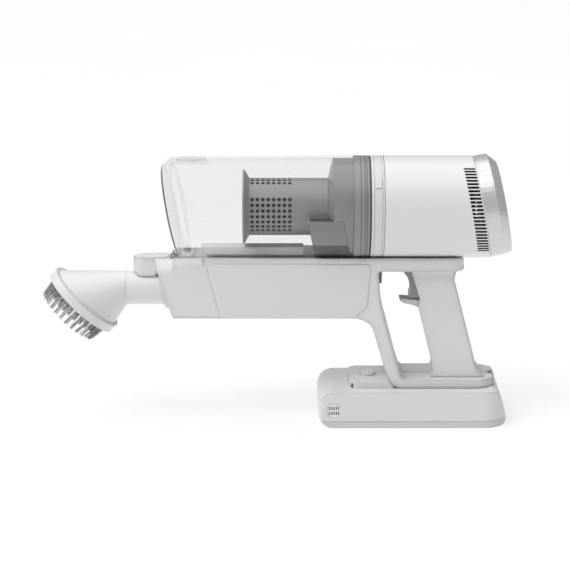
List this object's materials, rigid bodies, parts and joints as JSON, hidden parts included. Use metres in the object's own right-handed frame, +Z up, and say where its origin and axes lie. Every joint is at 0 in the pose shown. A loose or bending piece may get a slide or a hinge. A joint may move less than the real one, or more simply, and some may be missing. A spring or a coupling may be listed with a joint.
{
  "type": "handheld vacuum",
  "caption": "Cordless handheld vacuum with a clear cyclone dust bin, slotted motor housing, trigger grip, dusting brush tool and a slide-off battery foot.",
  "frame": {"origin": "centre of the battery's flat base", "axes": "+Z up, -X towards the brush tool, +X towards the motor's tail"},
  "size_m": [0.4447, 0.0964, 0.2568],
  "materials": {
    "body_left": "satin",
    "body_right": "satin",
    "side_panel_left": "satin",
    "side_panel_right": "satin",
    "socket_collar": "satin",
    "suction_duct": "satin",
    "duct_gasket": "matte",
    "motor_housing": "gloss",
    "tail_ring": "satin",
    "tail_cover": "satin",
    "exhaust_filter": "matte",
    "motor_can": "satin",
    "motor_stator": "satin",
    "front_bearing": "satin",
    "rear_bearing": "satin",
    "fan_shroud": "satin",
    "motor_mount": "matte",
    "control_board": "satin",
    "trigger_switch": "satin",
    "trigger_pin": "satin",
    "trigger_spring": "satin",
    "lever_pin": "satin",
    "terminal_plug": "satin",
    "status_light": "gloss",
    "housing_screws": "satin",
    "nozzle_button_spring": "satin",
    "impeller": "satin",
    "motor_shaft": "polished",
    "rotor_magnet": "satin",
    "power_trigger": "satin",
    "release_lever": "satin",
    "bin_catch": "satin",
    "nozzle_button": "satin",
    "brush_body": "satin",
    "bristle_plate": "satin",
    "bristles": "matte",
    "lock_ring": "satin",
    "dust_bin": "gloss",
    "bin_runner": "satin",
    "lid_pin": "satin",
    "cyclone_head": "satin",
    "inlet_scoop": "satin",
    "shroud": "satin",
    "shroud_mesh": "satin",
    "pre_filter": "matte",
    "head_seal": "matte",
    "bin_lid": "gloss",
    "lid_seal": "matte",
    "lid_latch": "satin",
    "battery_case": "satin",
    "battery_tray": "satin",
    "battery_cells": "satin",
    "cell_links": "satin",
    "battery_board": "satin",
    "battery_socket": "satin",
    "vent_grilles": "satin",
    "charge_jack": "satin",
    "battery_button": "satin",
    "battery_button_spring": "satin",
    "mode_button": "satin"
  },
  "bodies": {
    "main_body": {"body_left": "body_left", "body_right": "body_right", "side_panel_left": "side_panel_left", "side_panel_right": "side_panel_right", "socket_collar": "socket_collar", "suction_duct": "suction_duct", "duct_gasket": "duct_gasket", "motor_housing": "motor_housing", "tail_ring": "tail_ring", "tail_cover": "tail_cover", "exhaust_filter": "exhaust_filter", "motor_can": "motor_can", "motor_stator": "motor_stator", "front_bearing": "front_bearing", "rear_bearing": "rear_bearing", "fan_shroud": "fan_shroud", "motor_mount": "motor_mount", "control_board": "control_board", "trigger_switch": "trigger_switch", "trigger_pin": "trigger_pin", "trigger_spring": "trigger_spring", "lever_pin": "lever_pin", "terminal_plug": "terminal_plug", "status_light": "status_light", "housing_screws": "housing_screws", "nozzle_button_spring": "nozzle_button_spring"},
    "rotor": {"impeller": "impeller", "motor_shaft": "motor_shaft", "rotor_magnet": "rotor_magnet"},
    "trigger": {"power_trigger": "power_trigger"},
    "lever": {"release_lever": "release_lever"},
    "catch": {"bin_catch": "bin_catch"},
    "tool_button": {"nozzle_button": "nozzle_button"},
    "brush_tool": {"brush_body": "brush_body", "bristle_plate": "bristle_plate", "bristles": "bristles"},
    "collar_lock": {"lock_ring": "lock_ring"},
    "bin_unit": {"dust_bin": "dust_bin", "bin_runner": "bin_runner", "lid_pin": "lid_pin", "cyclone_head": "cyclone_head", "inlet_scoop": "inlet_scoop", "shroud": "shroud", "shroud_mesh": "shroud_mesh", "pre_filter": "pre_filter", "head_seal": "head_seal"},
    "lid": {"bin_lid": "bin_lid", "lid_seal": "lid_seal"},
    "latch": {"lid_latch": "lid_latch"},
    "battery": {"battery_case": "battery_case", "battery_tray": "battery_tray", "battery_cells": "battery_cells", "cell_links": "cell_links", "battery_board": "battery_board", "battery_socket": "battery_socket", "vent_grilles": "vent_grilles", "charge_jack": "charge_jack", "battery_button_spring": "battery_button_spring"},
    "pack_button": {"battery_button": "battery_button"},
    "speed_button": {"mode_button": "mode_button"}
  },
  "joints": [
    {"name": "rotor_spin", "type": "hinge", "parent": "main_body", "child": "rotor", "pos_m": [0.01, 0, 0.207], "axis": [1, 0, 0], "continuous": true},
    {"name": "trigger_pull", "type": "hinge", "parent": "main_body", "child": "trigger", "pos_m": [0.005, 0, 0.1465], "axis": [0, -1, 0], "range_deg": [0, 7], "stiffness_Nm_per_rad": 0.2, "springref_deg": -14.32},
    {"name": "lever_pull", "type": "hinge", "parent": "main_body", "child": "lever", "pos_m": [-0.0315, 0, 0.1524], "axis": [0, -1, 0], "range_deg": [0, 18], "stiffness_Nm_per_rad": 0.05, "springref_deg": -17.19},
    {"name": "catch_slide", "type": "slide", "parent": "main_body", "child": "catch", "axis": [-1, 0, 0], "range_m": [0, 0.0011]},
    {"name": "tool_button_press", "type": "slide", "parent": "main_body", "child": "tool_button", "axis": [0, 0, -1], "range_m": [0, 0.0025], "stiffness_N_per_m": 400, "springref_m": -0.002, "deforming": ["nozzle_button_spring"]},
    {"name": "brush_pull_off", "type": "slide", "parent": "main_body", "child": "brush_tool", "axis": [-1, 0, 0], "range_m": [0, 0.07]},
    {"name": "collar_turn", "type": "hinge", "parent": "main_body", "child": "collar_lock", "pos_m": [-0.035, 0, 0.207], "axis": [1, 0, 0], "range_deg": [0, 25]},
    {"name": "bin_lift_out", "type": "slide", "parent": "main_body", "child": "bin_unit", "axis": [0, 0, 1], "range_m": [0, 0.12]},
    {"name": "lid_swing", "type": "hinge", "parent": "bin_unit", "child": "lid", "pos_m": [-0.2256, 0, 0.1616], "axis": [0, -1, 0], "range_deg": [0, 80]},
    {"name": "latch_press", "type": "hinge", "parent": "bin_unit", "child": "latch", "pos_m": [-0.205, 0, 0.2526], "axis": [0, 1, 0], "range_deg": [0, 4], "stiffness_Nm_per_rad": 0.05, "springref_deg": -5.73},
    {"name": "battery_drop", "type": "slide", "parent": "main_body", "child": "battery", "axis": [0, 0, -1], "range_m": [0, 0.06]},
    {"name": "pack_button_press", "type": "slide", "parent": "battery", "child": "pack_button", "axis": [0, 0, -1], "range_m": [0, 0.0025], "stiffness_N_per_m": 400, "springref_m": -0.002, "deforming": ["battery_button_spring"]},
    {"name": "speed_button_press", "type": "slide", "parent": "main_body", "child": "speed_button", "axis": [-0.9833, 0, -0.1822], "range_m": [0, 0.0012], "stiffness_N_per_m": 500, "springref_m": -0.001}
  ],
  "couplings": [
    {"joint": "catch_slide", "follows": "lever_pull", "m_per_rad": 0.0032}
  ]
}
